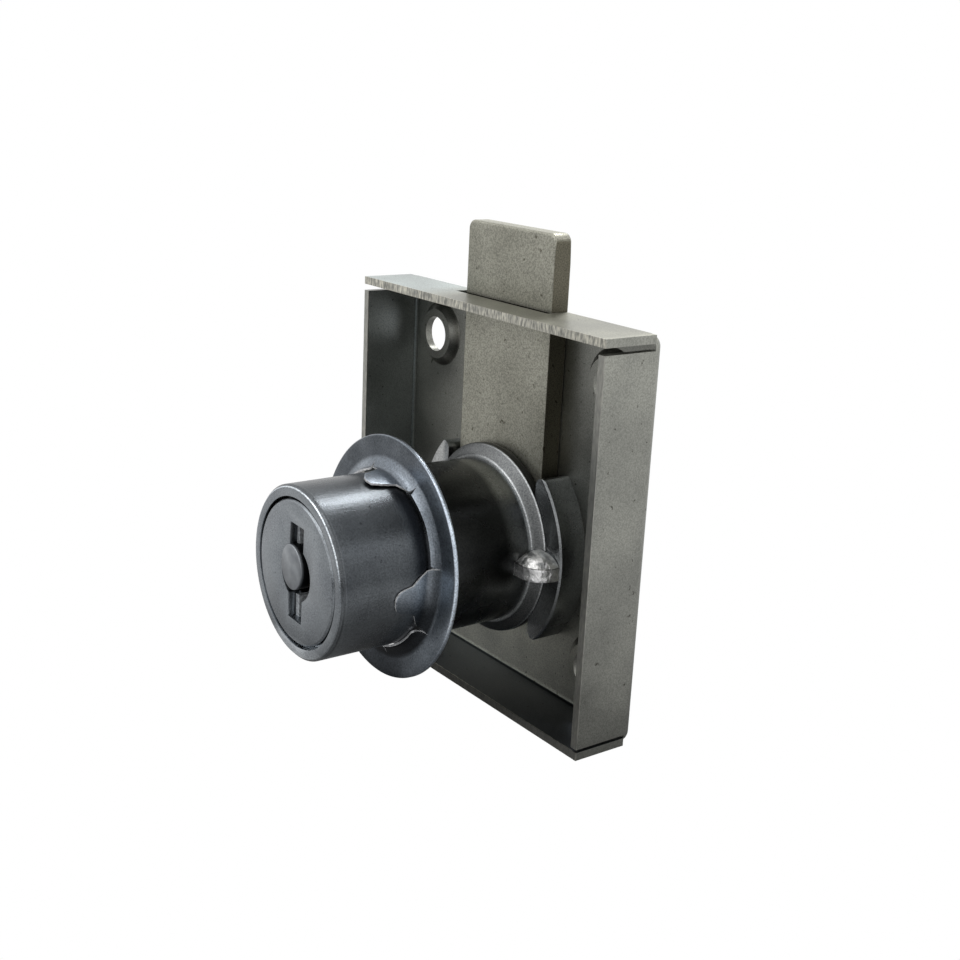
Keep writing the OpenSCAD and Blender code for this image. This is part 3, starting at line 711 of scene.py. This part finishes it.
def sized_tree(name, makes, sizes, takes=None):
    """Start a tree with a named input for each size. Returns it and its sizes by socket."""
    tree = bpy.data.node_groups.new(name, "GeometryNodeTree")
    if takes:
        tree.interface.new_socket(takes, in_out="INPUT", socket_type="NodeSocketGeometry")
    tree.interface.new_socket(makes, in_out="OUTPUT", socket_type="NodeSocketGeometry")
    values = {}
    for label, size in sizes:
        socket = tree.interface.new_socket(label, in_out="INPUT", socket_type="NodeSocketFloat")
        values[socket.identifier] = size
    return tree, values


def grow(holder, tree, values):
    """Run a tree on an object and return the plain mesh that it makes."""
    growth = holder.modifiers.new("growth", "NODES")
    growth.node_group = tree
    for key, value in values.items():
        growth[key] = value
    return finished(holder)


rivets = bpy.data.meshes.new("rivet_spots")
rivets.from_pydata([(way * rivet_circle * math.cos(turn), rivet_y, way * rivet_circle * math.sin(turn))
                    for way in (1, -1) for turn in (-rivet_angle, rivet_angle)], [], [])
mat, tree, shader, dent = grained("rivet_steel", 1, 0.36, 1200, 5, (0.35, (0.2, 0.2, 0.19)),
                                  (0.65, (0.46, 0.46, 0.44)))
roughen(tree, shader, dent, 0.6, 0.00005)
tree, values = sized_tree("rivet_tree", "Rivets", (
    ("Head Radius", 0.00217), ("Head Rise", 0.00078), ("Shank Radius", 0.00118), ("Shank Length", 0.0032)),
    takes="Spots")
given, squash, result = (tree.nodes.new(kind) for kind in (
    "NodeGroupInput", "ShaderNodeCombineXYZ", "NodeGroupOutput"))
head, shank, turned, stand, join, repeat, real, coat = (tree.nodes.new("GeometryNode" + kind) for kind in (
    "MeshUVSphere", "MeshCylinder", "Transform", "Transform", "JoinGeometry", "InstanceOnPoints",
    "RealizeInstances", "SetMaterial"))
head.inputs["Segments"].default_value, head.inputs["Rings"].default_value = 40, 24
head.inputs["Radius"].default_value = 1
stand.inputs["Translation"].default_value = (0, -shank_back, 0)
stand.inputs["Rotation"].default_value = (math.pi / 2, 0, 0)
coat.inputs["Material"].default_value = mat
for from_socket, taken in (
        (given.outputs["Head Radius"], squash.inputs[0]), (given.outputs["Head Rise"], squash.inputs[1]),
        (given.outputs["Head Radius"], squash.inputs[2]), (head.outputs[0], turned.inputs["Geometry"]),
        (squash.outputs[0], turned.inputs["Scale"]),
        (given.outputs["Shank Radius"], shank.inputs["Radius"]),
        (given.outputs["Shank Length"], shank.inputs["Depth"]),
        (shank.outputs[0], stand.inputs["Geometry"]),
        (turned.outputs[0], join.inputs[0]), (stand.outputs[0], join.inputs[0]),
        (given.outputs["Spots"], repeat.inputs["Points"]), (join.outputs[0], repeat.inputs["Instance"]),
        (repeat.outputs[0], real.inputs[0]), (real.outputs[0], coat.inputs["Geometry"]),
        (coat.outputs[0], result.inputs[0])):
    feed(tree, taken, from_socket)
made = grow(show("rivet_spots", rivets), tree, values)
smooth(made, 50)
rivet_set = show("rivet_set", made)
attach(rivet_set, "lock_case")
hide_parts("housing_rivets")

# Tumbler springs: a short coil of fine spring wire beside each tumbler. It stands in a bore of the
# plug and pushes the tumbler out by its arm.
free_length = 0.00265
mat = grained("spring_wire", 1, 0.28, 2500, 2, (0.35, (0.3, 0.3, 0.31)), (0.65, (0.55, 0.55, 0.56)))[0]
tree, values = sized_tree("coil_tree", "Coil", (
    ("Turns", 7.0), ("Coil Radius", 0.00053), ("Wire Radius", 0.00011), ("Free Length", free_length)))
given, result = tree.nodes.new("NodeGroupInput"), tree.nodes.new("NodeGroupOutput")
spiral, wire, sweep, real, coat = (tree.nodes.new("GeometryNode" + kind) for kind in (
    "CurveSpiral", "CurvePrimitiveCircle", "CurveToMesh", "RealizeInstances", "SetMaterial"))
spiral.inputs["Resolution"].default_value, wire.inputs["Resolution"].default_value = 24, 10
sweep.inputs["Fill Caps"].default_value = True
coat.inputs["Material"].default_value = mat
for from_socket, taken in (
        (given.outputs["Turns"], spiral.inputs["Rotations"]),
        (given.outputs["Coil Radius"], spiral.inputs["Start Radius"]),
        (given.outputs["Coil Radius"], spiral.inputs["End Radius"]),
        (given.outputs["Free Length"], spiral.inputs["Height"]),
        (given.outputs["Wire Radius"], wire.inputs["Radius"]), (spiral.outputs[0], sweep.inputs["Curve"]),
        (wire.outputs[0], sweep.inputs["Profile Curve"]), (sweep.outputs[0], real.inputs[0]),
        (real.outputs[0], coat.inputs["Geometry"]), (coat.outputs[0], result.inputs[0])):
    feed(tree, taken, from_socket)
for i in range(6):
    made = grow(show("coil_holder", bpy.data.meshes.new("coil_holder")), tree, values)
    corners = nodes[f"tumbler_spring_{i + 1}"].bound_box
    seat = (Vector(corners[0]) + Vector(corners[6])) / 2
    made.transform(Matrix.Translation((seat.x, seat.y, seat.z - free_length / 2)))
    made.shade_smooth()
    coil = show(f"coil_{i + 1}", made)
    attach(coil, "key_plug")
    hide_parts(f"tumbler_spring_{i + 1}")

# Hidden metal: the brass tumblers, the bright leaf spring beside the bolt, the dull cam on the
# plug's tail and its zinc-plated screw. They are the CAD's own solids with a material.
for kind, low_tone, high_tone, scale, roughness, names in (
        ("tumbler_brass", (0.5, 0.36, 0.13), (0.72, 0.53, 0.22), 900, 0.32,
         [f"tumbler_{i}" for i in range(1, 7)]),
        ("leaf_steel", (0.3, 0.31, 0.32), (0.5, 0.51, 0.52), 2200, 0.28, ["bolt_spring"]),
        ("cam_steel", (0.12, 0.125, 0.12), (0.24, 0.24, 0.23), 800, 0.42, ["drive_cam"]),
        ("screw_zinc", (0.4, 0.41, 0.43), (0.62, 0.63, 0.65), 1500, 0.3, ["cam_screw"])):
    mat, tree, shader, cloud = grained(kind, 1, roughness, scale, 6, (0.33, low_tone), (0.67, high_tone))
    uneven = (0.3, 0.7, roughness - 0.06, roughness + 0.08)
    feed(tree, shader.inputs["Roughness"], fade(tree, cloud, uneven))
    roughen(tree, shader, noise(tree, coordinates(tree), 6000), 0.4, 0.00002)
    for name in names:
        nodes[name].data.materials.clear()
        nodes[name].data.materials.append(mat)
